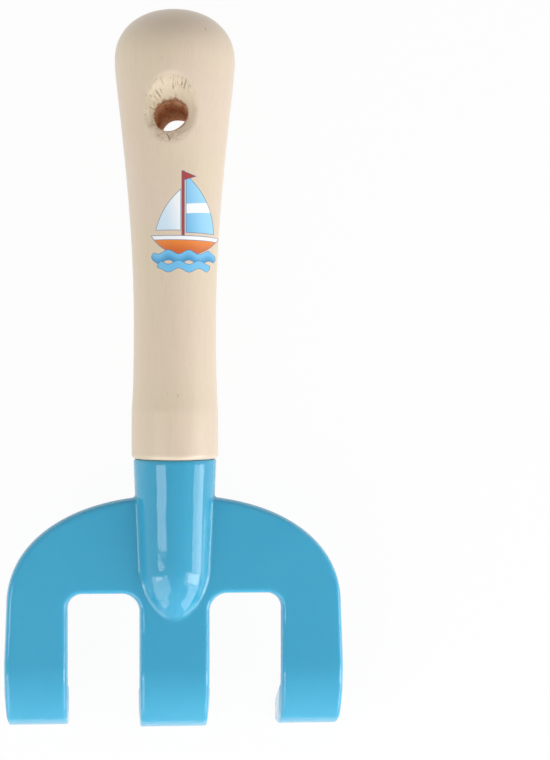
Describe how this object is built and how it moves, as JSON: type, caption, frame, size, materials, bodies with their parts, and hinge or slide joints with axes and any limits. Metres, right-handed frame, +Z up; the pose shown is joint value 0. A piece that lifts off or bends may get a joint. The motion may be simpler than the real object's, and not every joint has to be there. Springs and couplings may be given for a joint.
{
  "type": "sand rake",
  "caption": "Child's hand rake for sand: turned wooden handle with a hang hole, glued and screwed into a moulded fork head with an arched plate and flat tines bent down at their tips.",
  "frame": {"origin": "middle of the rake's footprint on the surface that it lies on, face up, on its tine tips and the handle's swell", "axes": "+Y along the handle towards its round end, +Z up out of the front of the head, +X to the right with the handle away"},
  "size_m": [0.0942, 0.2026, 0.0336],
  "materials": {
    "wood": "sanded, unfinished pale wood",
    "blue_plastic": "glossy moulded",
    "screw_steel": "bright zinc plating"
  },
  "bodies": {
    "root": {"wooden_handle": "wood", "fork_head": "blue_plastic", "fixing_screw": "screw_steel"}
  },
  "joints": []
}
